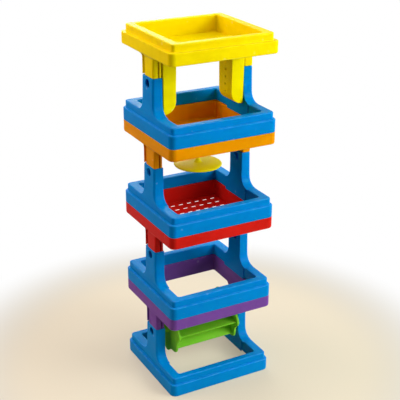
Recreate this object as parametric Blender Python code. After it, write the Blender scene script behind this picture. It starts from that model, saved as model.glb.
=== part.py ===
"""Stacking water tower: four trays on four identical stands, with a splash disc and a paddle wheel.

Every stand is one moulding, used four times: a square collar with a hollow post on its left and right.
Each tray plugs its two legs into the posts below it, and its raised rim carries the next stand.
X runs along the front, the front faces -Y, and the origin lies under the middle of the base stand.
"""
import math

import bmesh
import bpy

# Footprint shared by every stand and tray
FOOT_LENGTH = 0.150
FOOT_DEPTH = 0.142
BAND_CORNER = 0.0078
RIM_CORNER = 0.0045
OPENING_CORNER = 0.0025
WALL = 0.0024
EDGE = 0.0009
CLEARANCE = 0.0003

# Stand collar
STAND_BAND = 0.017
STAND_RIM = 0.009
STAND_STEP = 0.0032
SIDE_RIM_WIDTH = 0.0128
FRONT_RIM_WIDTH = 0.0098

# Stand posts
POST_WIDTH = 0.031
POST_HEIGHT = 0.047
POST_FLARE = 0.014
POST_LEAN = 0.001
POST_CROWN = 0.0015
POST_CORNER = 0.003
POST_PROUD = 0.0012
LIP_WIDTH = 0.052
LIP_DROP = 0.0025

# Wheel axle and its bearing holes in the posts
AXLE_BORE = 0.011
AXLE_BELOW_POST_TOP = 0.0088

# Trays
TRAY_BAND = 0.0155
TRAY_RIM = 0.0097
TRAY_STEP = 0.0052
FLOOR_RISE = 0.0006
LEG_DROP = 0.0274
LEG_FLARE = 0.0085
LEG_SWEEP = 0.003
LEG_CORNER = 0.0025
SIDE_SLOT_WIDTH = 0.007
SIDE_SLOT_LIP = 0.0018
END_SLIT_WIDTH = 0.0022
PLUG_LENGTH = 0.003

# Sieve floor of the red tray
SLOT_LENGTH = 0.0064
SLOT_WIDTH = 0.003
SLOT_PITCH_X = 0.0124
SLOT_PITCH_Y = 0.0138
SIEVE_MARGIN = 0.005

# Spouts of the yellow tray
SPOUT_DEPTH = 0.018
SPOUT_WIDTH = 0.035
SPOUT_WALL = 0.002
SPOUT_END_HEIGHT = 0.0005
SPOUT_ROUND = 0.0148
SPOUT_DRAFT = 0.0018
SPOUT_TAPER = 0.001
FLANGE_LIP = 0.0025
FLANGE_PLATE = 0.0018
JET_BORE = 0.0032
JET_COUNT = 5
JET_PITCH = 0.0097
JET_LOWEST = 0.014

# Splash disc under the orange tray
DISC_RADIUS = 0.0315
DISC_EDGE = 0.0022
DISC_CROWN = 0.0018
DISC_DROP = 0.0365
STEM_RADIUS = 0.0032
BOSS_WALL = 0.0025
BOSS_DROP = 0.006
BARB_OVERLAP = 0.0011
BARB_HEIGHT = 0.0045
DRAIN_RADIUS = 0.0028
DRAIN_CIRCLE = 0.0125
DRAIN_COUNT = 6

# Paddle wheel
WHEEL_LENGTH = 0.094
PLATE_THICKNESS = 0.003
LOBE_RADIUS = 0.037
VALLEY_RADIUS = 0.0315
PADDLE_RADIUS = 0.033
PADDLE_THICKNESS = 0.002
PADDLE_COUNT = 8
PADDLE_START = 2.0
HUB_RADIUS = 0.006
SPACER_RADIUS = 0.0075
AXLE_REACH = 0.001

# Facets on round stretches
CORNER_STEPS = 3
ARC_STEPS = 5
BORE_STEPS = 16
DISC_STEPS = 32
DOME_STEPS = 4
LOBE_STEPS = 6

# Places that follow from the sizes above
HALF_X = FOOT_LENGTH / 2
HALF_Y = FOOT_DEPTH / 2
STAND_TOP = STAND_BAND + STAND_RIM
OPENING_X = HALF_X - STAND_STEP - SIDE_RIM_WIDTH
OPENING_Y = HALF_Y - STAND_STEP - FRONT_RIM_WIDTH
POST_TOP = STAND_TOP + POST_HEIGHT
POST_INNER = OPENING_X - POST_PROUD
POST_OUTER = HALF_X - STAND_STEP
SOCKET_INNER = POST_INNER + WALL
SOCKET_OUTER = POST_OUTER - POST_LEAN - WALL
SOCKET_HALF = POST_WIDTH / 2 - WALL
AXLE_HEIGHT = POST_TOP - AXLE_BELOW_POST_TOP
INNER_WALL_END = TRAY_RIM + CLEARANCE
TRAY_LIFT = POST_TOP + CLEARANCE + LEG_DROP
PITCH = TRAY_LIFT + TRAY_BAND + CLEARANCE
FLOOR_TOP = FLOOR_RISE + WALL
LEG_INNER = OPENING_X + CLEARANCE
LEG_OUTER = POST_OUTER - POST_LEAN


def plastic(name, colour):
    """Moulded plastic with a satin gloss."""
    material = bpy.data.materials.new(name)
    material.use_nodes = True
    shader = material.node_tree.nodes["Principled BSDF"]
    shader.inputs["Base Color"].default_value = (*colour, 1.0)
    shader.inputs["Roughness"].default_value = 0.35
    shader.inputs["Metallic"].default_value = 0.0
    return material


def solid(name, corners, faces):
    """Object from corners and faces, with every face turned outwards."""
    mesh = bpy.data.meshes.new(name)
    mesh.from_pydata(corners, [], faces)
    shape = bmesh.new()
    shape.from_mesh(mesh)
    bmesh.ops.recalc_face_normals(shape, faces=shape.faces)
    shape.to_mesh(mesh)
    shape.free()
    thing = bpy.data.objects.new(name, mesh)
    bpy.context.scene.collection.objects.link(thing)
    return thing


def combine(body, tool, operation):
    """Join a tool to a body, or cut it away, and drop the tool."""
    step = body.modifiers.new("combine", 'BOOLEAN')
    step.object = tool
    step.operation = operation
    step.solver = 'EXACT'
    view = bpy.context.evaluated_depsgraph_get()
    mesh = bpy.data.meshes.new_from_object(body.evaluated_get(view))
    body.modifiers.clear()
    old_mesh = body.data
    body.data = mesh
    bpy.data.meshes.remove(old_mesh)
    bpy.data.objects.remove(tool)


def join(body, tool):
    combine(body, tool, 'UNION')


def cut(body, tool):
    combine(body, tool, 'DIFFERENCE')


def finish(thing, material):
    """Give a piece its material and smooth shading that stops at its edges."""
    thing.data.materials.clear()
    thing.data.materials.append(material)
    thing.data.shade_smooth()
    thing.data.set_sharp_from_angle(angle=math.radians(30))
    return thing


def arc(centre_u, centre_v, radius, start, end, steps):
    """Points on a circular arc, with angles in degrees."""
    points = []
    for step in range(steps + 1):
        angle = math.radians(start + (end - start) * step / steps)
        points.append((centre_u + radius * math.cos(angle), centre_v + radius * math.sin(angle)))
    return points


def rounded_rectangle(half_x, half_y, radius):
    """Plan outline with four round corners, anticlockwise."""
    points = []
    for corner, (sign_x, sign_y) in enumerate(((1, 1), (-1, 1), (-1, -1), (1, -1))):
        centre_x = sign_x * (half_x - radius)
        centre_y = sign_y * (half_y - radius)
        points += arc(centre_x, centre_y, radius, 90 * corner, 90 * corner + 90, CORNER_STEPS)
    return points


def skirt(name, sections):
    """Closed wall that runs round the footprint; each section is an inset from it, a corner and a height."""
    corners = []
    for inset_x, inset_y, radius, height in sections:
        outline = rounded_rectangle(HALF_X - inset_x, HALF_Y - inset_y, radius)
        corners += [(x, y, height) for x, y in outline]
    count = len(outline)
    faces = []
    for ring in range(len(sections)):
        following = (ring + 1) % len(sections)
        for point in range(count):
            neighbour = (point + 1) % count
            faces.append((ring * count + point, ring * count + neighbour,
                          following * count + neighbour, following * count + point))
    return solid(name, corners, faces)


def prism(name, outline, place_low, place_high):
    """Solid between two copies of an outline, placed by two functions of its points."""
    count = len(outline)
    corners = [place_low(u, v) for u, v in outline] + [place_high(u, v) for u, v in outline]
    faces = [tuple(range(count)), tuple(range(count, 2 * count))]
    for point in range(count):
        neighbour = (point + 1) % count
        faces.append((point, neighbour, count + neighbour, count + point))
    return solid(name, corners, faces)


def loft(name, sections):
    """Solid through a stack of plan outlines, each with its height."""
    corners = []
    for outline, height in sections:
        corners += [(x, y, height) for x, y in outline]
    count = len(outline)
    last = (len(sections) - 1) * count
    faces = [tuple(range(count)), tuple(range(last, last + count))]
    for level in range(0, last, count):
        for point in range(count):
            neighbour = (point + 1) % count
            faces.append((level + point, level + neighbour,
                          level + count + neighbour, level + count + point))
    return solid(name, corners, faces)


def post_plan(side, inner, outer, half, corner):
    """Plan of a post or a leg, with its two outer edges rounded, turned round for the left-hand side."""
    outline = [(inner, -half)]
    outline += arc(outer - corner, corner - half, corner, 270, 360, CORNER_STEPS)
    outline += arc(outer - corner, half - corner, corner, 0, 90, CORNER_STEPS)
    outline += [(inner, half)]
    return [(side * x, side * y) for x, y in outline]


def box(name, low, high):
    outline = [(low[0], low[1]), (high[0], low[1]), (high[0], high[1]), (low[0], high[1])]
    return prism(name, outline, lambda u, v: (u, v, low[2]), lambda u, v: (u, v, high[2]))


def side_box(name, side, low, high):
    """Box given for the right-hand side, turned round for the left."""
    ends_x = sorted((side * low[0], side * high[0]))
    ends_y = sorted((side * low[1], side * high[1]))
    return box(name, (ends_x[0], ends_y[0], low[2]), (ends_x[1], ends_y[1], high[2]))


def rod_along_x(name, low_x, high_x, height, radius, steps):
    outline = arc(0, height, radius, 0, 360, steps)[:-1]
    return prism(name, outline, lambda u, v: (low_x, u, v), lambda u, v: (high_x, u, v))


def rod_along_z(name, centre_x, centre_y, low_z, high_z, radius):
    outline = arc(centre_x, centre_y, radius, 0, 360, BORE_STEPS)[:-1]
    return prism(name, outline, lambda u, v: (u, v, low_z), lambda u, v: (u, v, high_z))


def turned(name, profile, steps):
    """Solid of revolution about Z; the profile runs from the axis out and back to it."""
    corners = []
    faces = []
    for radius, height in profile[1:-1]:
        for step in range(steps):
            angle = 2 * math.pi * step / steps
            corners.append((radius * math.cos(angle), radius * math.sin(angle), height))
    rings = len(profile) - 2
    for ring in range(rings - 1):
        for step in range(steps):
            neighbour = (step + 1) % steps
            faces.append((ring * steps + step, ring * steps + neighbour,
                          (ring + 1) * steps + neighbour, (ring + 1) * steps + step))
    for ring, height in ((0, profile[0][1]), (rings - 1, profile[-1][1])):
        pole = len(corners)
        corners.append((0.0, 0.0, height))
        for step in range(steps):
            faces.append((ring * steps + step, ring * steps + (step + 1) % steps, pole))
    return solid(name, corners, faces)


def inside(radius):
    """Corner radius on the inner side of a wall."""
    return max(radius - WALL, EDGE)


def stand_collar(name):
    """Stepped collar, open below, whose hollow takes the rim of the tray beneath it."""
    rim_x = STAND_STEP
    inner_x = HALF_X - OPENING_X
    inner_y = HALF_Y - OPENING_Y
    return skirt(name, [
        (0, 0, BAND_CORNER, 0),
        (0, 0, BAND_CORNER, STAND_BAND - EDGE),
        (EDGE, EDGE, BAND_CORNER - EDGE, STAND_BAND),
        (rim_x, rim_x, RIM_CORNER, STAND_BAND),
        (rim_x, rim_x, RIM_CORNER, STAND_TOP - EDGE),
        (rim_x + EDGE, rim_x + EDGE, RIM_CORNER - EDGE, STAND_TOP),
        (inner_x - EDGE, inner_y - EDGE, OPENING_CORNER + EDGE, STAND_TOP),
        (inner_x, inner_y, OPENING_CORNER, STAND_TOP - EDGE),
        (inner_x, inner_y, OPENING_CORNER, INNER_WALL_END),
        (inner_x - WALL, inner_y - WALL, OPENING_CORNER + WALL, INNER_WALL_END),
        (inner_x - WALL, inner_y - WALL, OPENING_CORNER + WALL, STAND_TOP - WALL),
        (rim_x + WALL, rim_x + WALL, inside(RIM_CORNER), STAND_TOP - WALL),
        (rim_x + WALL, rim_x + WALL, inside(RIM_CORNER), STAND_BAND - WALL),
        (WALL, WALL, inside(BAND_CORNER), STAND_BAND - WALL),
        (WALL, WALL, inside(BAND_CORNER), 0),
    ])


def post_sections(side):
    """Post from the collar up: a round flare, a slight lean of the outer face and a small crown."""
    half = POST_WIDTH / 2
    levels = [(half + POST_FLARE, STAND_TOP - WALL / 2, 0)]
    for spread, height in arc(half + POST_FLARE, STAND_TOP + POST_FLARE, POST_FLARE, 270, 180, ARC_STEPS):
        levels.append((spread, height, 0))
    for inset, height in arc(POST_CROWN, POST_TOP - POST_CROWN, POST_CROWN, 180, 90, 2):
        levels.append((half - inset, height, inset))
    sections = []
    for spread, height, inset in levels:
        lean = POST_LEAN * max(height - STAND_TOP, 0) / POST_HEIGHT
        outer = POST_OUTER - lean - inset
        sections.append((post_plan(side, POST_INNER, outer, spread, POST_CORNER), height))
    return sections


def add_post(stand, side):
    """Hollow post with its locating lip, its leg socket and its axle bearing."""
    half_lip = LIP_WIDTH / 2
    lip_back = OPENING_X - CLEARANCE
    lip_top = STAND_TOP - WALL / 2
    join(stand, loft("post", post_sections(side)))
    join(stand, side_box("lip", side, (POST_INNER, -half_lip, INNER_WALL_END - LIP_DROP),
                         (lip_back, half_lip, lip_top)))
    join(stand, side_box("lip_root", side, (POST_INNER, -half_lip, INNER_WALL_END + CLEARANCE),
                         (OPENING_X + WALL / 2, half_lip, lip_top)))
    cut(stand, side_box("socket", side, (SOCKET_INNER, -SOCKET_HALF, -WALL),
                        (SOCKET_OUTER, SOCKET_HALF, POST_TOP + WALL)))
    ends = sorted((side * (POST_INNER - WALL), side * (POST_OUTER + WALL)))
    cut(stand, rod_along_x("bearing", ends[0], ends[1], AXLE_HEIGHT, AXLE_BORE / 2, BORE_STEPS))


def stand_mesh():
    stand = stand_collar("stand")
    for side in (-1, 1):
        add_post(stand, side)
    mesh = stand.data
    bpy.data.objects.remove(stand)
    return mesh


def tray_wall(name):
    """Band, ledge and raised rim of a tray, with the hollow under them open below."""
    rim = TRAY_STEP
    rim_top = TRAY_BAND + TRAY_RIM
    inner_x = HALF_X - OPENING_X
    inner_y = HALF_Y - OPENING_Y
    return skirt(name, [
        (EDGE, EDGE, BAND_CORNER - EDGE, 0),
        (0, 0, BAND_CORNER, EDGE),
        (0, 0, BAND_CORNER, TRAY_BAND),
        (rim, rim, RIM_CORNER, TRAY_BAND),
        (rim, rim, RIM_CORNER, rim_top - EDGE),
        (rim + EDGE, rim + EDGE, RIM_CORNER - EDGE, rim_top),
        (inner_x - EDGE, inner_y - EDGE, OPENING_CORNER + EDGE, rim_top),
        (inner_x, inner_y, OPENING_CORNER, rim_top - EDGE),
        (inner_x, inner_y, OPENING_CORNER, 0),
        (inner_x - WALL, inner_y - WALL, OPENING_CORNER + WALL, 0),
        (inner_x - WALL, inner_y - WALL, OPENING_CORNER + WALL, rim_top - WALL),
        (rim + WALL, rim + WALL, inside(RIM_CORNER), rim_top - WALL),
        (rim + WALL, rim + WALL, inside(RIM_CORNER), TRAY_BAND - WALL),
        (WALL, WALL, inside(BAND_CORNER), TRAY_BAND - WALL),
        (WALL, WALL, inside(BAND_CORNER), 0),
    ])


def leg_sections(side):
    """Leg from the band down: it flares into the band on three sides and ends flush with the post."""
    half = POST_WIDTH / 2
    band_face = HALF_X - EDGE - CLEARANCE
    levels = [(half + LEG_FLARE, WALL, band_face)]
    for spread, height in arc(half + LEG_FLARE, -LEG_FLARE, LEG_FLARE, 90, 180, ARC_STEPS):
        reach = LEG_OUTER + (band_face - LEG_OUTER) * max(1 + height / LEG_SWEEP, 0)
        levels.append((spread, height, reach))
    levels.append((half, -LEG_DROP, LEG_OUTER))
    return [(post_plan(side, LEG_INNER, reach, spread, LEG_CORNER), height)
            for spread, height, reach in levels]


def add_leg(tray, side):
    """Hollow leg with a slot in its outer face, a slit in its end and a plug that fits the post below."""
    half = POST_WIDTH / 2
    foot = -LEG_DROP
    join(tray, loft("leg", leg_sections(side)))
    half_plug = SOCKET_HALF - CLEARANCE
    join(tray, side_box("plug", side, (SOCKET_INNER + CLEARANCE, -half_plug, foot - PLUG_LENGTH),
                        (SOCKET_OUTER - CLEARANCE, half_plug, foot + WALL / 2)))
    hollow_inner = LEG_INNER + WALL
    cut(tray, side_box("hollow", side, (hollow_inner, WALL - half, foot + WALL),
                       (LEG_OUTER - WALL, half - WALL, 2 * WALL)))
    slot_low = SIDE_SLOT_LIP - half
    cut(tray, side_box("side_slot", side, (LEG_OUTER - WALL - EDGE, slot_low, foot - CLEARANCE),
                       (HALF_X + WALL, slot_low + SIDE_SLOT_WIDTH, -EDGE)))
    cut(tray, side_box("end_slit", side, (hollow_inner, half - WALL - EDGE, foot - CLEARANCE),
                       (hollow_inner + END_SLIT_WIDTH, half + LEG_FLARE + WALL, -EDGE)))


def tray_body(name):
    tray = tray_wall(name)
    for side in (-1, 1):
        add_leg(tray, side)
    return tray


def add_floor(tray):
    reach_x = OPENING_X + WALL / 2
    reach_y = OPENING_Y + WALL / 2
    join(tray, box("floor", (-reach_x, -reach_y, FLOOR_RISE), (reach_x, reach_y, FLOOR_TOP)))


def sieve_slots():
    """Grid of slots that fills the floor up to its margin."""
    columns = int((2 * (OPENING_X - SIEVE_MARGIN) - SLOT_LENGTH) / SLOT_PITCH_X) + 1
    rows = int((2 * (OPENING_Y - SIEVE_MARGIN) - SLOT_WIDTH) / SLOT_PITCH_Y) + 1
    corners = []
    faces = []
    for column in range(columns):
        for row in range(rows):
            middle_x = (column - (columns - 1) / 2) * SLOT_PITCH_X
            middle_y = (row - (rows - 1) / 2) * SLOT_PITCH_Y
            first = len(corners)
            for height in (FLOOR_RISE - WALL, FLOOR_TOP + WALL):
                for along, across in ((-1, -1), (1, -1), (1, 1), (-1, 1)):
                    corners.append((middle_x + along * SLOT_LENGTH / 2,
                                    middle_y + across * SLOT_WIDTH / 2, height))
            faces += [(first, first + 3, first + 2, first + 1), (first + 4, first + 5, first + 6, first + 7)]
            for point in range(4):
                neighbour = (point + 1) % 4
                faces.append((first + point, first + neighbour,
                              first + 4 + neighbour, first + 4 + point))
    return solid("slots", corners, faces)


def add_disc_boss(tray):
    """Boss that grips the stem of the splash disc, with drain holes round it."""
    bore = STEM_RADIUS + CLEARANCE
    join(tray, rod_along_z("boss", 0, 0, FLOOR_RISE - BOSS_DROP, FLOOR_TOP - WALL / 2, bore + BOSS_WALL))
    cut(tray, rod_along_z("boss_bore", 0, 0, FLOOR_RISE - 2 * BOSS_DROP, FLOOR_TOP + WALL, bore))
    for hole in range(DRAIN_COUNT):
        angle = 2 * math.pi * hole / DRAIN_COUNT
        cut(tray, rod_along_z("drain", DRAIN_CIRCLE * math.cos(angle), DRAIN_CIRCLE * math.sin(angle),
                              FLOOR_RISE - WALL, FLOOR_TOP + WALL, DRAIN_RADIUS))


def spout_span():
    """Inner and outer X of a spout, which hangs just inside the post."""
    outer = POST_INNER - CLEARANCE
    return outer - SPOUT_DEPTH, outer


def spout_outline(inset, top, low):
    """Spout seen from the front: a round lower corner towards the middle of the tower."""
    inner, outer = spout_span()
    radius = SPOUT_ROUND - inset
    left = inner + inset
    bottom = low + inset
    outline = [(left, top)]
    outline += arc(left + radius, bottom + radius, radius, 180, 270, ARC_STEPS)
    outline += [(outer - inset - SPOUT_TAPER, bottom), (outer - inset, top)]
    return outline


def spout(name, side):
    """Drop tube with a flange that sits on the tray floor and a row of jet holes; Z is the tray's own."""
    inner, outer = spout_span()
    low = STAND_TOP - SPOUT_END_HEIGHT - TRAY_LIFT
    seat = FLOOR_TOP + CLEARANCE
    top = seat + FLANGE_PLATE
    half = SPOUT_WIDTH / 2

    def tube(label, inset, tube_top):
        def half_at(z):
            return half - inset - SPOUT_DRAFT * (top - z) / (top - low)

        return prism(label, spout_outline(inset, tube_top, low),
                     lambda x, z: (side * x, -half_at(z), z), lambda x, z: (side * x, half_at(z), z))

    piece = tube(name, 0, top)
    flange_outer = min(outer + FLANGE_LIP, OPENING_X - CLEARANCE)
    join(piece, side_box("flange", side, (inner - FLANGE_LIP, -half - FLANGE_LIP, seat),
                         (flange_outer, half + FLANGE_LIP, top + CLEARANCE)))
    cut(piece, tube("well", SPOUT_WALL, top + WALL))
    ends = sorted((side * (inner - SPOUT_WALL), side * (inner + 2 * SPOUT_WALL)))
    for jet in range(JET_COUNT):
        height = low + JET_LOWEST + jet * JET_PITCH
        cut(piece, rod_along_x("jet", ends[0], ends[1], height, JET_BORE / 2, BORE_STEPS // 2))
    return piece


def cut_spout_holes(tray):
    inner, outer = spout_span()
    half = SPOUT_WIDTH / 2 + CLEARANCE
    for side in (-1, 1):
        cut(tray, side_box("spout_hole", side, (inner - CLEARANCE, -half, FLOOR_RISE - WALL),
                           (outer + CLEARANCE, half, FLOOR_TOP + WALL)))


def dome(height, shares):
    """Profile of the disc's shallow dome above a height, at shares of its reach."""
    reach = DISC_RADIUS - EDGE
    return [(reach * share, height + DISC_CROWN * (1 - share * share)) for share in shares]


def splash_disc(name):
    """Shallow dome on a stem, held in the tray's boss by a barb; Z is the tray's own."""
    top = FLOOR_RISE - DISC_DROP
    bottom = top - DISC_EDGE
    collar_top = FLOOR_RISE - BOSS_DROP - CLEARANCE
    collar = STEM_RADIUS + BOSS_WALL
    barb_seat = FLOOR_TOP + CLEARANCE
    barb = STEM_RADIUS + CLEARANCE + BARB_OVERLAP
    outwards = [step / DOME_STEPS for step in range(DOME_STEPS + 1)]
    profile = dome(bottom, outwards)
    profile += [(DISC_RADIUS, bottom + EDGE), (DISC_RADIUS, top - EDGE)]
    profile += dome(top, reversed(outwards[2:]))
    profile += [
        (collar, top + DISC_CROWN),
        (STEM_RADIUS, top + DISC_CROWN + BOSS_WALL),
        (STEM_RADIUS, collar_top - BOSS_WALL),
        (collar, collar_top - BOSS_WALL / 2),
        (collar, collar_top),
        (STEM_RADIUS, collar_top),
        (STEM_RADIUS, barb_seat),
        (barb, barb_seat),
        (STEM_RADIUS - EDGE, barb_seat + BARB_HEIGHT),
        (0, barb_seat + BARB_HEIGHT),
    ]
    return turned(name, profile, DISC_STEPS)


def lobed_outline():
    """End plate of the wheel: one lobe for each paddle."""
    points = []
    count = PADDLE_COUNT * LOBE_STEPS
    for step in range(count):
        angle = 2 * math.pi * step / count
        swell = 0.5 + 0.5 * math.cos(PADDLE_COUNT * angle)
        radius = VALLEY_RADIUS + (LOBE_RADIUS - VALLEY_RADIUS) * swell
        turn = angle + math.radians(PADDLE_START)
        points.append((-radius * math.cos(turn), -radius * math.sin(turn)))
    return points


def wheel_plate(name, side):
    """Lobed end plate with a spacer boss and the stub that turns in the post's bearing."""
    outer = side * WHEEL_LENGTH / 2
    inner = side * (WHEEL_LENGTH / 2 - PLATE_THICKNESS)
    root = side * (WHEEL_LENGTH - PLATE_THICKNESS) / 2
    spacer_end = side * (POST_INNER - CLEARANCE)
    stub_end = side * (SOCKET_INNER + AXLE_REACH)
    plate = prism(name, lobed_outline(), lambda y, z: (inner, y, z), lambda y, z: (outer, y, z))
    join(plate, rod_along_x("spacer", root, spacer_end, 0, SPACER_RADIUS, BORE_STEPS))
    join(plate, rod_along_x("stub", root, stub_end, 0, AXLE_BORE / 2 - CLEARANCE, BORE_STEPS))
    return plate


def paddles(name):
    """Hub with flat paddles that runs from one end plate to the other."""
    end = WHEEL_LENGTH / 2 - PLATE_THICKNESS - CLEARANCE
    wheel = rod_along_x(name, -end, end, 0, HUB_RADIUS, BORE_STEPS)
    half = PADDLE_THICKNESS / 2
    for paddle in range(PADDLE_COUNT):
        angle = math.radians(PADDLE_START + 360 * paddle / PADDLE_COUNT)
        out_y, out_z = -math.cos(angle), -math.sin(angle)
        outline = []
        for radius, shift in ((0.5 * HUB_RADIUS, -half), (PADDLE_RADIUS, -half),
                              (PADDLE_RADIUS, half), (0.5 * HUB_RADIUS, half)):
            outline.append((radius * out_y - shift * out_z, radius * out_z + shift * out_y))
        join(wheel, prism("paddle", outline, lambda y, z: (-end, y, z), lambda y, z: (end, y, z)))
    return wheel


def build():
    for thing in list(bpy.data.objects):
        bpy.data.objects.remove(thing)

    blue = plastic("blue_plastic", (0.008, 0.205, 0.62))
    collar_mesh = stand_mesh()
    for level, name in enumerate(("base_stand", "lower_stand", "middle_stand", "upper_stand")):
        stand = bpy.data.objects.new(name, collar_mesh)
        bpy.context.scene.collection.objects.link(stand)
        stand.location.z = level * PITCH
        finish(stand, blue)

    purple = tray_body("purple_tray")
    red = tray_body("red_tray")
    orange = tray_body("orange_tray")
    yellow = tray_body("yellow_tray")
    for tray in (red, orange, yellow):
        add_floor(tray)
    cut(red, sieve_slots())
    add_disc_boss(orange)
    cut_spout_holes(yellow)
    yellow_plastic = plastic("yellow_plastic", (0.90, 0.66, 0.005))
    finish(purple, plastic("purple_plastic", (0.19, 0.055, 0.27)))
    finish(red, plastic("red_plastic", (0.62, 0.018, 0.014)))
    finish(orange, plastic("orange_plastic", (0.83, 0.27, 0.008)))
    finish(yellow, yellow_plastic)
    for level, tray in enumerate((purple, red, orange, yellow)):
        tray.location.z = level * PITCH + TRAY_LIFT

    disc = finish(splash_disc("splash_disc"), yellow_plastic)
    disc.parent = orange
    for name, side in (("left_spout", -1), ("right_spout", 1)):
        tube = finish(spout(name, side), yellow_plastic)
        tube.parent = yellow

    green = plastic("green_plastic", (0.10, 0.42, 0.010))
    axis = bpy.data.objects.new("wheel_axis", None)
    bpy.context.scene.collection.objects.link(axis)
    axis.location.z = AXLE_HEIGHT
    wheel_pieces = [paddles("wheel_paddles"), wheel_plate("wheel_left_plate", -1),
                    wheel_plate("wheel_right_plate", 1)]
    for piece in wheel_pieces:
        finish(piece, green).parent = axis


build()
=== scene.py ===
"""Looks of a stacking water tower: stands, coloured trays, spouts, a splash disc and a paddle wheel."""
import math

import bmesh
import bpy
from mathutils import Matrix, Vector


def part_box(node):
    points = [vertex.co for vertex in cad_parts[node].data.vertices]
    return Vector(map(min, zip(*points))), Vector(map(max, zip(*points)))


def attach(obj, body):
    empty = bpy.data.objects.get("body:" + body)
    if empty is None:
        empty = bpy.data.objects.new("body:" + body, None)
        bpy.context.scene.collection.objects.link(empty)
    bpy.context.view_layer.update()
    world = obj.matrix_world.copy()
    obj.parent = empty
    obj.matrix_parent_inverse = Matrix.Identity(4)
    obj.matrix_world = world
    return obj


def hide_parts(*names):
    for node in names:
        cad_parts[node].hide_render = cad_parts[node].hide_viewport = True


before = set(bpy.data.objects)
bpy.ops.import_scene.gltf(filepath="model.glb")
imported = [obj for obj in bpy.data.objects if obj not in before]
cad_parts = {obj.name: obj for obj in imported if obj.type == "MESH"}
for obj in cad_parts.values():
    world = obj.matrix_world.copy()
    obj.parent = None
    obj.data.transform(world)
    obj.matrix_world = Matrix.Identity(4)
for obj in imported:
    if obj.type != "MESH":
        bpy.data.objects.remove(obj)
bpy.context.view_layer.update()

# Blue stands. Four copies of one injection moulding in satin plastic: a stepped square collar
# with a hollow post on its left and right. A tray leg plugs into each post, and the collar
# drops over the rim of the tray below.

WELD_DISTANCE = 1e-6
FLAT_ANGLE = math.radians(0.5)
EDGE_ANGLE = math.radians(35)
EDGE_SEGMENTS = 3
ROUND_PROFILE = 0.5
RIDGE_ANGLE = 0.05
WEAR_AND_HIGHLIGHT_LAYER = "rub"


def bake(piece):
    """Turn a piece's modifiers into a plain mesh."""
    view = bpy.context.evaluated_depsgraph_get()
    mesh = bpy.data.meshes.new_from_object(piece.evaluated_get(view))
    piece.modifiers.clear()
    piece.data = mesh
    return piece


def rounded_piece(name, skin, edge_round):
    """Object from a closed skin, with its edges rounded and the convex ones marked for pale edges,
    which are rubbed wear and a painted highlight.
    """
    bmesh.ops.remove_doubles(skin, verts=skin.verts, dist=WELD_DISTANCE)
    bmesh.ops.dissolve_limit(skin, angle_limit=FLAT_ANGLE, verts=skin.verts, edges=skin.edges)
    bmesh.ops.connect_verts_concave(skin, faces=skin.faces)
    sharp = [edge for edge in skin.edges
             if edge.is_manifold and edge.calc_face_angle() > EDGE_ANGLE]
    bmesh.ops.bevel(skin, geom=sharp, offset=edge_round, offset_type='OFFSET',
                    segments=EDGE_SEGMENTS, profile=ROUND_PROFILE, affect='EDGES',
                    clamp_overlap=False, loop_slide=True)
    strips = {face for face in skin.faces
              if face.calc_area() < edge_round * max(edge.calc_length() for edge in face.edges)}
    # Convex edge strips are marked for a pale colour: partly rubbed wear, partly a painted highlight
    # along the edges.
    rub = skin.verts.layers.float.new(WEAR_AND_HIGHLIGHT_LAYER)
    for corner in skin.verts:
        ridge = any(edge.is_manifold and edge.calc_face_angle_signed(0) > RIDGE_ANGLE
                    for edge in corner.link_edges)
        corner[rub] = float(ridge and all(face in strips for face in corner.link_faces))
    for face in skin.faces:
        face.smooth = True
    mesh = bpy.data.meshes.new(name)
    skin.to_mesh(mesh)
    skin.free()
    piece = bpy.data.objects.new(name, mesh)
    bpy.context.scene.collection.objects.link(piece)
    shading = piece.modifiers.new("shading", 'WEIGHTED_NORMAL')
    shading.keep_sharp = True
    return bake(piece)


def moulding(node, edge_round, reshape=None):
    """Copy of a CAD node as one welded moulding with round edges, reshaped first where asked."""
    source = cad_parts[node].data
    loose = bpy.data.meshes.new(node + "_skin")
    loose.from_pydata([corner.co for corner in source.vertices], [],
                      [tuple(face.vertices) for face in source.polygons])
    skin = bmesh.new()
    skin.from_mesh(loose)
    bpy.data.meshes.remove(loose)
    if reshape:
        reshape(skin)
    return rounded_piece(node + "_moulding", skin, edge_round)


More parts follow.
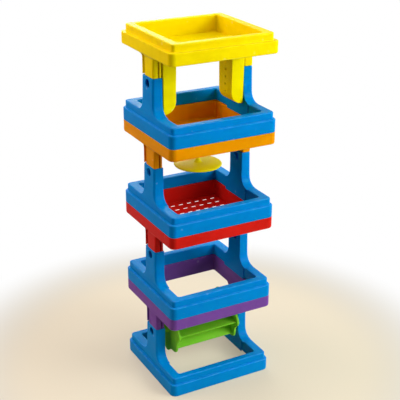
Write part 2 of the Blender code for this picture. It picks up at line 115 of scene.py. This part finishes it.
class Field:
    """Output socket in a node tree that takes part in Python arithmetic."""

    # Sockets of a Mix node that are used when it mixes colours.
    MIX_FACTOR, MIX_FROM, MIX_TO, MIX_RESULT = 0, 6, 7, 2

    def __init__(self, tree, socket=None):
        self.tree = tree
        self.socket = socket

    def node(self, kind, settings, inputs, output=0):
        """Any other node: its settings come first, then the values or links of its sockets."""
        made = self.tree.nodes.new(kind)
        for setting, value in settings.items():
            if setting == "stops":
                for stop, (position, shade) in zip(made.color_ramp.elements, value):
                    stop.position = position
                    stop.color = (shade, shade, shade, 1.0)
            else:
                setattr(made, setting, value)
        for key, value in inputs.items():
            for item in value if isinstance(value, list) else [value]:
                if isinstance(item, Field):
                    self.tree.links.new(item.socket, made.inputs[key])
                else:
                    made.inputs[key].default_value = item
        return Field(self.tree, made.outputs[output])

    def math(self, operation, left, right):
        """Math node on two values or fields."""
        return self.node("ShaderNodeMath", {"operation": operation}, {0: left, 1: right})

    def __add__(self, other):
        return self.math('ADD', self, other)

    __radd__ = __add__

    def __sub__(self, other):
        return self.math('SUBTRACT', self, other)

    def __rsub__(self, other):
        return self.math('SUBTRACT', other, self)

    def __mul__(self, other):
        return self.math('MULTIPLY', self, other)

    __rmul__ = __mul__

    def ramp(self, start, end):
        """Value that goes from one (position, shade) stop to another."""
        return self.node("ShaderNodeValToRGB", {"stops": (start, end)}, {"Fac": self})

    def tint(self, colour, mixed_with):
        """Colour that goes to another one as this value rises."""
        return self.node("ShaderNodeMix", {"data_type": 'RGBA'},
                         {self.MIX_FACTOR: self, self.MIX_FROM: colour, self.MIX_TO: mixed_with},
                         self.MIX_RESULT)


def shaded(colour, factor):
    """Lighter or darker version of a linear colour."""
    return tuple(min(channel * factor, 1.0) for channel in colour) + (1.0,)


NOISE_ROUGHNESS = 0.55
NOISE_MEAN = 0.5


def noise(place, scale, detail, stretch=(1.0, 1.0, 1.0)):
    """Noise with a scale in cells per metre, squeezed along an axis by its stretch factor."""
    moved = place.node("ShaderNodeMapping", {"vector_type": 'POINT'},
                       {"Vector": place, "Scale": stretch})
    return moved.node("ShaderNodeTexNoise", {"noise_dimensions": '3D'},
                      {"Vector": moved, "Scale": scale, "Detail": detail,
                       "Roughness": NOISE_ROUGHNESS})


FLOW_SCALE = 16.0
FLOW_STRETCH = (1.0, 1.0, 3.5)
FLOW_SHARE = 0.65
MOTTLE_SCALE = 90.0
BODY_STOPS = (0.35, 0.0), (0.65, 1.0)
BODY_DARK = 0.93
BODY_LIGHT = 1.06
PEEL_SCALE = 260.0
PEEL_SHARE = 0.65
GRAIN_SCALE = 1500.0
BUMP_STRENGTH = 0.10
BUMP_DEPTH = 0.0004
SPOT_SCALE = 65.0
SPOT_STOPS = (0.10, 1.0), (0.16, 0.0)
SPOT_PATCH_STOPS = (0.52, 0.0), (0.64, 1.0)
SPOT_COLOUR = (0.85, 0.85, 0.82, 1.0)
SPOT_COVER = 0.10
SCUFF_SCALE = 55.0
SCUFF_STRETCH = (1.0, 6.0, 6.0)
SCUFF_STOPS = (0.60, 0.0), (0.72, 1.0)
# Pale convex edges: partly rubbed wear, partly a painted highlight that whitens and lightens the
# colour.
WEAR_AND_HIGHLIGHT_SCALE = 120.0
WEAR_AND_HIGHLIGHT_STOPS = (0.40, 0.1), (0.62, 0.7)
WEAR_AND_HIGHLIGHT_COVER = 0.28
WEAR_AND_HIGHLIGHT_WHITENING = 0.10
WEAR_AND_HIGHLIGHT_LIGHTENING = 1.25
SATIN_ROUGHNESS = 0.36
FLOW_ROUGHENING = 0.10
SCUFF_ROUGHENING = 0.12
WEAR_AND_HIGHLIGHT_ROUGHENING = 0.15
SPOT_ROUGHENING = 0.16
PLASTIC_IOR = 1.49
PLASTIC_SPECULAR = 0.02
GLOW_WEIGHT = 0.45
GLOW_DEPTH = 0.005
LEAST_SPREAD = 0.1


def moulded_plastic(name, colour):
    """Satin moulded plastic: flow marks, fine grain, dried water spots, and pale convex edges that are
    partly rubbed wear and partly a painted highlight.

    Light goes farthest in the plastic's own colour.
    """
    material = bpy.data.materials.new(name)
    material.use_nodes = True
    tree = material.node_tree
    place = Field(tree).node("ShaderNodeTexCoord", {}, {}, "Object")
    flow = noise(place, FLOW_SCALE, detail=3.0, stretch=FLOW_STRETCH)
    mottle = noise(place, MOTTLE_SCALE, detail=4.0)
    grain = noise(place, GRAIN_SCALE, detail=2.0)
    peel = noise(place, PEEL_SCALE, detail=2.0)
    spots = place.node("ShaderNodeTexVoronoi", {"feature": 'F1'},
                       {"Vector": place, "Scale": SPOT_SCALE})
    dried = spots.ramp(*SPOT_STOPS) * mottle.ramp(*SPOT_PATCH_STOPS)
    scuffs = noise(place, SCUFF_SCALE, detail=5.0, stretch=SCUFF_STRETCH).ramp(*SCUFF_STOPS)
    edge = place.node("ShaderNodeAttribute", {"attribute_name": WEAR_AND_HIGHLIGHT_LAYER}, {}, "Fac")
    edge_wear_and_highlight = edge * noise(place, WEAR_AND_HIGHLIGHT_SCALE, detail=4.0).ramp(*WEAR_AND_HIGHLIGHT_STOPS)
    body = (flow * FLOW_SHARE + mottle * (1 - FLOW_SHARE)).ramp(*BODY_STOPS)
    # Colour of the pale edges, lighter than the plastic: partly rubbed wear, partly a painted
    # highlight.
    wear_and_highlight_colour = shaded([channel + WEAR_AND_HIGHLIGHT_WHITENING for channel in colour], WEAR_AND_HIGHLIGHT_LIGHTENING)
    base = body.tint(shaded(colour, BODY_DARK), shaded(colour, BODY_LIGHT))
    base = (dried * SPOT_COVER).tint(base, SPOT_COLOUR)
    base = (edge_wear_and_highlight * WEAR_AND_HIGHLIGHT_COVER).tint(base, wear_and_highlight_colour)
    rough = (SATIN_ROUGHNESS + FLOW_ROUGHENING * (flow - NOISE_MEAN) + SCUFF_ROUGHENING * scuffs
             + WEAR_AND_HIGHLIGHT_ROUGHENING * edge_wear_and_highlight + SPOT_ROUGHENING * dried)
    surface = PEEL_SHARE * peel + (1 - PEEL_SHARE) * grain
    normal = surface.node("ShaderNodeBump", {}, {"Strength": BUMP_STRENGTH,
                                                 "Distance": BUMP_DEPTH, "Height": surface})
    spread = tuple(max(channel / max(colour), LEAST_SPREAD) for channel in colour)
    shader = tree.nodes["Principled BSDF"]
    for socket, field in (("Base Color", base), ("Roughness", rough), ("Normal", normal)):
        tree.links.new(field.socket, shader.inputs[socket])
    for socket, value in (("IOR", PLASTIC_IOR), ("Specular IOR Level", PLASTIC_SPECULAR),
                          ("Subsurface Weight", GLOW_WEIGHT), ("Subsurface Radius", spread),
                          ("Subsurface Scale", GLOW_DEPTH)):
        shader.inputs[socket].default_value = value
    return material


def dress(piece, node, body, material):
    """Give a piece its plastic and let it stand for a node, on the node's own body."""
    piece.data.materials.clear()
    piece.data.materials.append(material)
    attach(piece, body)
    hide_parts(node)


STAND_EDGE = 0.0005
STAND_BLUE = (0.0, 0.23, 0.60)
stand_blue = moulded_plastic("stand_blue", STAND_BLUE)
for stand, level in (("base_stand", "base"), ("lower_stand", "lower_level"),
                     ("middle_stand", "middle_level"), ("upper_stand", "upper_level")):
    dress(moulding(stand, STAND_EDGE), stand, level, stand_blue)

# Paddle wheel. Green plastic: a hub with eight flat paddles, held between two lobed end plates
# whose stubs turn in the posts of the base stand. The water that runs down the tower drives it.

WHEEL_EDGE = 0.0004
WHEEL_GREEN = (0.215, 0.60, 0.03)
HUB_SIDES = 32
HUB_RADIUS = 0.006
PADDLE_REACH = 0.033
PADDLE_THICKNESS = 0.002
PADDLE_COUNT = 8
PADDLE_START = math.radians(182)


def paddle_tree(material):
    """Hub along X with paddles set round it at even angles."""
    tree = bpy.data.node_groups.new("paddles_on_hub", 'GeometryNodeTree')
    for label, kind in (("Length", 'NodeSocketFloat'), ("Hub radius", 'NodeSocketFloat'),
                        ("Reach", 'NodeSocketFloat'), ("Thickness", 'NodeSocketFloat'),
                        ("Count", 'NodeSocketInt'), ("Start", 'NodeSocketFloat'),
                        ("Step", 'NodeSocketFloat'), ("Height", 'NodeSocketFloat')):
        tree.interface.new_socket(label, in_out='INPUT', socket_type=kind)
    tree.interface.new_socket("Geometry", in_out='OUTPUT', socket_type='NodeSocketGeometry')
    sizes = tree.nodes.new('NodeGroupInput').outputs
    blank = Field(tree)

    def size(label):
        return Field(tree, sizes[label])

    def vector(x, y, z):
        return blank.node('ShaderNodeCombineXYZ', {}, {0: x, 1: y, 2: z})

    hub = blank.node('GeometryNodeMeshCylinder', {},
                     {"Vertices": HUB_SIDES, "Radius": size("Hub radius"), "Depth": size("Length")})
    hub = blank.node('GeometryNodeTransform', {},
                     {"Geometry": hub, "Rotation": (0, math.pi / 2, 0)})
    blade = blank.node('GeometryNodeMeshCube', {},
                       {"Size": vector(size("Length"), size("Reach"), size("Thickness"))})
    blade = blank.node('GeometryNodeTransform', {},
                       {"Geometry": blade, "Translation": vector(0.0, size("Reach") * 0.5, 0.0)})
    seats = blank.node('GeometryNodeMeshLine', {"mode": 'OFFSET'},
                       {"Count": size("Count"), "Offset": (0, 0, 0)})
    angle = size("Start") + blank.node('GeometryNodeInputIndex', {}, {}) * size("Step")
    blades = blank.node('GeometryNodeInstanceOnPoints', {},
                        {"Points": seats, "Instance": blade, "Rotation": vector(angle, 0.0, 0.0)})
    blades = blank.node('GeometryNodeRealizeInstances', {}, {"Geometry": blades})
    wheel = blank.node('GeometryNodeMeshBoolean', {"operation": 'UNION', "solver": 'EXACT'},
                       {"Self Intersection": True, "Mesh 2": [hub, blades]}, "Mesh")
    wheel = blank.node('GeometryNodeTransform', {},
                       {"Geometry": wheel, "Translation": vector(0.0, 0.0, size("Height"))})
    wheel = blank.node('GeometryNodeRealizeInstances', {}, {"Geometry": wheel})
    wheel = blank.node('GeometryNodeSetMaterial', {}, {"Geometry": wheel, "Material": material})
    tree.links.new(wheel.socket, tree.nodes.new('NodeGroupOutput').inputs[0])
    return tree


wheel_green = moulded_plastic("wheel_green", WHEEL_GREEN)
paddle_low, paddle_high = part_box("wheel_paddles")
paddle_object = bpy.data.objects.new("paddle_rule", bpy.data.meshes.new("paddle_rule"))
bpy.context.scene.collection.objects.link(paddle_object)
rule = paddle_object.modifiers.new("paddles", 'NODES')
rule.node_group = paddle_tree(wheel_green)
ports = {port.name: port.identifier for port in rule.node_group.interface.items_tree}
for label, value in (("Length", paddle_high.x - paddle_low.x), ("Hub radius", HUB_RADIUS),
                     ("Reach", PADDLE_REACH), ("Thickness", PADDLE_THICKNESS),
                     ("Count", PADDLE_COUNT), ("Start", PADDLE_START),
                     ("Step", 2 * math.pi / PADDLE_COUNT),
                     ("Height", (paddle_high.z + paddle_low.z) / 2)):
    rule[ports[label]] = value
bake(paddle_object)
paddle_skin = bmesh.new()
paddle_skin.from_mesh(paddle_object.data)
bpy.data.objects.remove(paddle_object)
paddles = rounded_piece("wheel_paddles_moulding", paddle_skin, WHEEL_EDGE)
dress(paddles, "wheel_paddles", "wheel", wheel_green)
for plate in ("wheel_left_plate", "wheel_right_plate"):
    dress(moulding(plate, WHEEL_EDGE), plate, "wheel", wheel_green)

# Trays. Four plastic mouldings with a band, a raised rim and two hollow legs that plug into the
# posts below. The purple one has no floor, the red one a thin slotted sieve, the orange one a
# boss and drain holes, and the yellow one is the basin at the top, open to its spouts.

TRAY_EDGE = 0.0005
TRAY_PURPLE = (0.175, 0.066, 0.315)
TRAY_RED = (0.60, 0.014, 0.008)
TRAY_ORANGE = (0.76, 0.29, 0.0)
TRAY_YELLOW = (0.88, 0.69, 0.0)
SIEVE_THINNING = 0.00125
FACING_DOWN = -0.9
HEIGHT_DIGITS = 5
LEVEL_TOLERANCE = 1e-5


def thin_sieve(skin):
    """Raise the underside of the slotted floor, so that one sees through the slots at a slant."""
    skin.normal_update()
    area_at = {}
    for face in skin.faces:
        if face.normal.z < FACING_DOWN:
            height = round(face.calc_center_median().z, HEIGHT_DIGITS)
            area_at[height] = area_at.get(height, 0.0) + face.calc_area()
    underside = max(area_at, key=area_at.get)
    for corner in skin.verts:
        if abs(corner.co.z - underside) < LEVEL_TOLERANCE:
            corner.co.z += SIEVE_THINNING


for tray, level, slot, colour, reshape in (
        ("purple_tray", "purple_level", "purple", TRAY_PURPLE, None),
        ("red_tray", "red_level", "red", TRAY_RED, thin_sieve),
        ("orange_tray", "orange_level", "orange", TRAY_ORANGE, None),
        ("yellow_tray", "yellow_level", "yellow", TRAY_YELLOW, None)):
    dress(moulding(tray, TRAY_EDGE, reshape), tray, level,
          moulded_plastic(slot + "_plastic", colour))

# Spouts and splash disc. Yellow plastic: two drop tubes with jet holes hang in the floor of the
# yellow tray, and a domed disc is snapped by its barb into the boss of the orange tray.

TUBE_EDGE = 0.0004
# The tubes' yellow is a lighter copy of the tray's yellow plastic: painted light on tubes that hang in
# the shade under the tray.
TUBE_YELLOW_PAINTED_LIGHTER = (0.95, 0.80, 0.0)
# The disc's yellow is a much lighter copy of the same yellow plastic: painted light on a disc that lies
# in the shade of the orange tray.
DISC_YELLOW_PAINTED_LIGHTER = (0.97, 0.94, 0.0)
disc_yellow_painted_lighter = moulded_plastic("disc_yellow_painted_lighter", DISC_YELLOW_PAINTED_LIGHTER)
dress(moulding("splash_disc", TUBE_EDGE), "splash_disc", "orange_level", disc_yellow_painted_lighter)
tube_yellow_painted_lighter = moulded_plastic("tube_yellow_painted_lighter", TUBE_YELLOW_PAINTED_LIGHTER)
for spout in ("left_spout", "right_spout"):
    dress(moulding(spout, TUBE_EDGE), spout, "yellow_level", tube_yellow_painted_lighter)

# Floor, light and camera. A plain pale sheet that reads white farther out but gives back less
# light there. Two soft boxes stand at the front right, a pinkish one high at the back left, one
# behind and one overhead, and the camera looks down on the tower from the front left.

FLOOR_SIZE = 40.0
FLOOR_CREAM = (0.745, 0.68, 0.52)
FLOOR_FAR = (0.30, 0.30, 0.30, 1.0)
WHITE = (1.0, 1.0, 1.0, 1.0)
WHITE_STRENGTH = 1.0
FADE_START = 0.22
FADE_END = 0.40
SPECKLE_SCALE = 700.0
SPECKLE_DARK = 0.95
SPECKLE_LIGHT = 1.05
FLOOR_ROUGHNESS = 0.9
FLOOR_SPECULAR = 0.1
NEAR_GLOW = 0.45
SKY_STRENGTH = 0.22


def watched(tree):
    """1 for a ray that shows the surface in the picture, 0 for one that carries light to the toy."""
    camera_ray = Field(tree).node("ShaderNodeLightPath", {}, {}, "Is Camera Ray")
    rays = camera_ray.socket.node.outputs
    return (camera_ray + Field(tree, rays["Is Glossy Ray"])
            + Field(tree, rays["Is Transmission Ray"]))


half_floor = FLOOR_SIZE / 2
floor_mesh = bpy.data.meshes.new("floor")
floor_mesh.from_pydata([(-half_floor, -half_floor, 0), (half_floor, -half_floor, 0),
                        (half_floor, half_floor, 0), (-half_floor, half_floor, 0)],
                       [], [(0, 1, 2, 3)])
floor = bpy.data.objects.new("floor", floor_mesh)
bpy.context.scene.collection.objects.link(floor)
floor_material = bpy.data.materials.new("pale_floor")
floor_material.use_nodes = True
floor_mesh.materials.append(floor_material)
floor_tree = floor_material.node_tree
floor_place = Field(floor_tree).node("ShaderNodeTexCoord", {}, {}, "Object")
distance = floor_place.node("ShaderNodeVectorMath", {"operation": 'LENGTH'},
                            {0: floor_place}, "Value")
away = distance.node("ShaderNodeMapRange", {"interpolation_type": 'SMOOTHSTEP'},
                     {"Value": distance, "From Min": FADE_START, "From Max": FADE_END})
speckle = noise(floor_place, SPECKLE_SCALE, detail=3.0)
cream = speckle.tint(shaded(FLOOR_CREAM, SPECKLE_DARK), shaded(FLOOR_CREAM, SPECKLE_LIGHT))
floor_shader = floor_tree.nodes["Principled BSDF"]
floor_tree.links.new(away.tint(cream, FLOOR_FAR).socket, floor_shader.inputs["Base Color"])
floor_shader.inputs["Roughness"].default_value = FLOOR_ROUGHNESS
floor_shader.inputs["Specular IOR Level"].default_value = FLOOR_SPECULAR
floor_lit = Field(floor_tree, floor_shader.outputs["BSDF"])
floor_seen = away.node("ShaderNodeEmission", {},
                       {"Color": away.tint(cream, WHITE), "Strength": WHITE_STRENGTH})
glow = watched(floor_tree) * (NEAR_GLOW + (1 - NEAR_GLOW) * away)
sheet = away.node("ShaderNodeMixShader", {}, {"Fac": glow, 1: floor_lit, 2: floor_seen})
floor_tree.links.new(sheet.socket, floor_tree.nodes["Material Output"].inputs["Surface"])

world = bpy.data.worlds.new("studio")
world.use_nodes = True
bpy.context.scene.world = world
sky_tree = world.node_tree
sky_shader = sky_tree.nodes["Background"]
sky_shader.inputs["Color"].default_value = WHITE
sky_shader.inputs["Strength"].default_value = SKY_STRENGTH
sky_lit = Field(sky_tree, sky_shader.outputs["Background"])
sky_seen = sky_lit.node("ShaderNodeBackground", {}, {"Color": WHITE, "Strength": WHITE_STRENGTH})
sky = sky_lit.node("ShaderNodeMixShader", {}, {"Fac": watched(sky_tree), 1: sky_lit, 2: sky_seen})
sky_tree.links.new(sky.socket, sky_tree.nodes["World Output"].inputs["Surface"])

TARGET = Vector((0.0, 0.0, 0.24))


def soft_light(name, direction, distance, size, power, colour=(1.0, 1.0, 1.0)):
    """Large soft box that faces the tower."""
    lamp = bpy.data.lights.new(name, 'AREA')
    lamp.size = size
    lamp.energy = power
    lamp.color = colour
    holder = bpy.data.objects.new(name, lamp)
    bpy.context.scene.collection.objects.link(holder)
    holder.location = TARGET + Vector(direction).normalized() * distance
    holder.rotation_euler = (TARGET - holder.location).to_track_quat('-Z', 'Y').to_euler()


soft_light("key", (0.95, -0.85, 0.50), distance=1.4, size=0.8, power=10.8)
soft_light("front", (0.75, -1.0, 0.62), distance=1.05, size=0.6, power=6.3)
soft_light("left_fill", (-1.0, 0.75, 1.10), distance=0.75, size=0.6, power=4.3,
           colour=(1.0, 0.75, 0.78))
soft_light("back", (0.25, 1.0, 0.42), distance=1.4, size=0.8, power=10.0)
soft_light("overhead", (0.1, 0.0, 1.0), distance=2.0, size=1.4, power=9.5)

CAMERA_PLACE = Vector((-0.54687, -1.00363, 0.73046))
CAMERA_YAW = math.radians(28.742)
CAMERA_PITCH = math.radians(23.022)
CAMERA_ROLL = math.radians(0.317)
SENSOR_WIDTH = 36.0
FOCAL_LENGTH = 84.294
view_ahead = Vector((math.sin(CAMERA_YAW) * math.cos(CAMERA_PITCH),
                     math.cos(CAMERA_YAW) * math.cos(CAMERA_PITCH), -math.sin(CAMERA_PITCH)))
view_right = Vector((math.cos(CAMERA_YAW), -math.sin(CAMERA_YAW), 0))
view_up = view_right.cross(view_ahead)
turned_right = math.cos(CAMERA_ROLL) * view_right + math.sin(CAMERA_ROLL) * view_up
turned_up = math.cos(CAMERA_ROLL) * view_up - math.sin(CAMERA_ROLL) * view_right
lens = bpy.data.cameras.new("camera")
lens.sensor_width = SENSOR_WIDTH
lens.lens = FOCAL_LENGTH
camera = bpy.data.objects.new("camera", lens)
camera.matrix_world = Matrix.Translation(CAMERA_PLACE) @ Matrix(
    (turned_right, turned_up, -view_ahead)).transposed().to_4x4()
bpy.context.scene.collection.objects.link(camera)
bpy.context.scene.camera = camera
bpy.context.scene.view_settings.view_transform = 'Standard'
